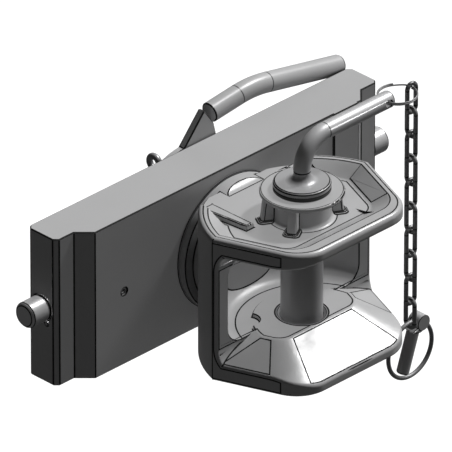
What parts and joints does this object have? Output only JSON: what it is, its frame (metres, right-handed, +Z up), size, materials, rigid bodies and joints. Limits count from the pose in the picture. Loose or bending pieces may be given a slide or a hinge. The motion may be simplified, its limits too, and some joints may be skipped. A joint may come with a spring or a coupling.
{
  "type": "trailer coupler",
  "caption": "Ladder-hitch slide plate with a swivelling cast clevis jaw, lift-out coupling pin with bent handle, chained linch pin and lever-drawn locking pins.",
  "frame": {"origin": "where the locking pins' axis meets the jaw's swivel axis, in the middle of the plate", "axes": "+X along the locking pins, -Y out of the jaw's mouth, +Z up along the ladder's rails"},
  "size_m": [0.366, 0.2159, 0.2501],
  "materials": {
    "painted_casting": "satin",
    "plate_steel": "satin",
    "bright_steel": "brushed",
    "bush_steel": "machined",
    "dark_rubber": "matt",
    "zinc_wire": "zinc plated"
  },
  "bodies": {
    "plate": {"slide_plate": "plate_steel", "swivel_bush": "bush_steel", "hub_circlip": "bright_steel", "left_end_screw": "bright_steel", "right_end_screw": "bright_steel", "face_screw": "bright_steel", "lever_stop": "bright_steel", "lever_spring": "bright_steel"},
    "clevis": {"clevis_jaw": "painted_casting", "thrust_washer": "bright_steel", "shank_washer": "bright_steel", "shank_nut": "bright_steel", "cotter_pin": "bright_steel", "upper_pin_bush": "bush_steel", "lower_pin_bush": "bush_steel"},
    "pin_carrier": {"pin_washer": "dark_rubber"},
    "pin": {"coupling_pin": "bright_steel", "pin_handle": "bright_steel"},
    "handle_ring": {"handle_ring": "zinc_wire"},
    "linch_ring": {"linch_ring": "zinc_wire"},
    "linch_pin": {"linch_pin": "zinc_wire"},
    "lever": {"lever_plate": "plate_steel", "lever_rod": "bright_steel"},
    "left_lock": {"left_lock_pin": "bright_steel", "left_cam_peg": "bright_steel"},
    "right_lock": {"right_lock_pin": "bright_steel", "right_cam_peg": "bright_steel"},
    "chain_link_01": {"chain_link_01": "zinc_wire"},
    "chain_link_02": {"chain_link_02": "zinc_wire"},
    "chain_link_03": {"chain_link_03": "zinc_wire"},
    "chain_link_04": {"chain_link_04": "zinc_wire"},
    "chain_link_05": {"chain_link_05": "zinc_wire"},
    "chain_link_06": {"chain_link_06": "zinc_wire"},
    "chain_link_07": {"chain_link_07": "zinc_wire"},
    "chain_link_08": {"chain_link_08": "zinc_wire"},
    "chain_link_09": {"chain_link_09": "zinc_wire"},
    "chain_link_10": {"chain_link_10": "zinc_wire"}
  },
  "joints": [
    {"name": "jaw_swivel", "type": "hinge", "parent": "plate", "child": "clevis", "pos_m": [0, 0, 0], "axis": [0, 1, 0], "continuous": true},
    {"name": "pin_lift", "type": "slide", "parent": "clevis", "child": "pin_carrier", "axis": [0, 0, 1], "range_m": [0, 0.13]},
    {"name": "pin_turn", "type": "hinge", "parent": "pin_carrier", "child": "pin", "pos_m": [0, -0.1, 0], "axis": [0, 0, 1], "range_deg": [-180, 0]},
    {"name": "ring_swing", "type": "hinge", "parent": "pin", "child": "handle_ring", "pos_m": [0.0832, -0.1, 0.111], "axis": [0, 1, 0], "range_deg": [-20, 0.3]},
    {"name": "lever_lift", "type": "hinge", "parent": "plate", "child": "lever", "pos_m": [0, 0, 0], "axis": [0, -1, 0], "range_deg": [0, 60], "stiffness_Nm_per_rad": 3, "springref_deg": -28.65, "deforming": ["lever_spring"]},
    {"name": "left_lock_slide", "type": "slide", "parent": "plate", "child": "left_lock", "axis": [1, 0, 0], "range_m": [0, 0.019]},
    {"name": "right_lock_slide", "type": "slide", "parent": "plate", "child": "right_lock", "axis": [-1, 0, 0], "range_m": [0, 0.019]},
    {"name": "link_01_swing", "type": "hinge", "parent": "handle_ring", "child": "chain_link_01", "pos_m": [0.1122, -0.1, 0.111], "axis": [0, 1, 0], "range_deg": [-15, 0.2]},
    {"name": "link_02_swing", "type": "hinge", "parent": "chain_link_01", "child": "chain_link_02", "pos_m": [0.1122, -0.1, 0.0905], "axis": [1, 0, 0], "range_deg": [-8, 0.5]},
    {"name": "link_03_swing", "type": "hinge", "parent": "chain_link_02", "child": "chain_link_03", "pos_m": [0.1122, -0.1, 0.0705], "axis": [0, 1, 0], "range_deg": [-15, 0.2]},
    {"name": "link_04_swing", "type": "hinge", "parent": "chain_link_03", "child": "chain_link_04", "pos_m": [0.1122, -0.1, 0.0505], "axis": [1, 0, 0], "range_deg": [-8, 0.5]},
    {"name": "link_05_swing", "type": "hinge", "parent": "chain_link_04", "child": "chain_link_05", "pos_m": [0.1122, -0.1, 0.0305], "axis": [0, 1, 0], "range_deg": [-15, 0.2]},
    {"name": "link_06_swing", "type": "hinge", "parent": "chain_link_05", "child": "chain_link_06", "pos_m": [0.1122, -0.1, 0.0105], "axis": [1, 0, 0], "range_deg": [-8, 0.5]},
    {"name": "link_07_swing", "type": "hinge", "parent": "chain_link_06", "child": "chain_link_07", "pos_m": [0.1122, -0.1, -0.0095], "axis": [0, 1, 0], "range_deg": [-15, 0.2]},
    {"name": "link_08_swing", "type": "hinge", "parent": "chain_link_07", "child": "chain_link_08", "pos_m": [0.1122, -0.1, -0.0295], "axis": [1, 0, 0], "range_deg": [-8, 0.5]},
    {"name": "link_09_swing", "type": "hinge", "parent": "chain_link_08", "child": "chain_link_09", "pos_m": [0.1122, -0.1, -0.0495], "axis": [0, 1, 0], "range_deg": [-15, 0.2]},
    {"name": "link_10_swing", "type": "hinge", "parent": "chain_link_09", "child": "chain_link_10", "pos_m": [0.1122, -0.1, -0.0695], "axis": [1, 0, 0], "range_deg": [-8, 0.5]},
    {"name": "linch_ring_swing", "type": "hinge", "parent": "chain_link_10", "child": "linch_ring", "pos_m": [0.1122, -0.1, -0.0895], "axis": [0, 1, 0], "range_deg": [-15, 2]},
    {"name": "linch_pin_swing", "type": "hinge", "parent": "linch_ring", "child": "linch_pin", "pos_m": [0.12135, -0.1, -0.0879], "axis": [0.9135, 0, -0.4067], "range_deg": [-45, 45]}
  ],
  "couplings": [
    {"joint": "left_lock_slide", "follows": "lever_lift", "m_per_rad": 0.018144},
    {"joint": "right_lock_slide", "follows": "lever_lift", "m_per_rad": 0.018144}
  ]
}
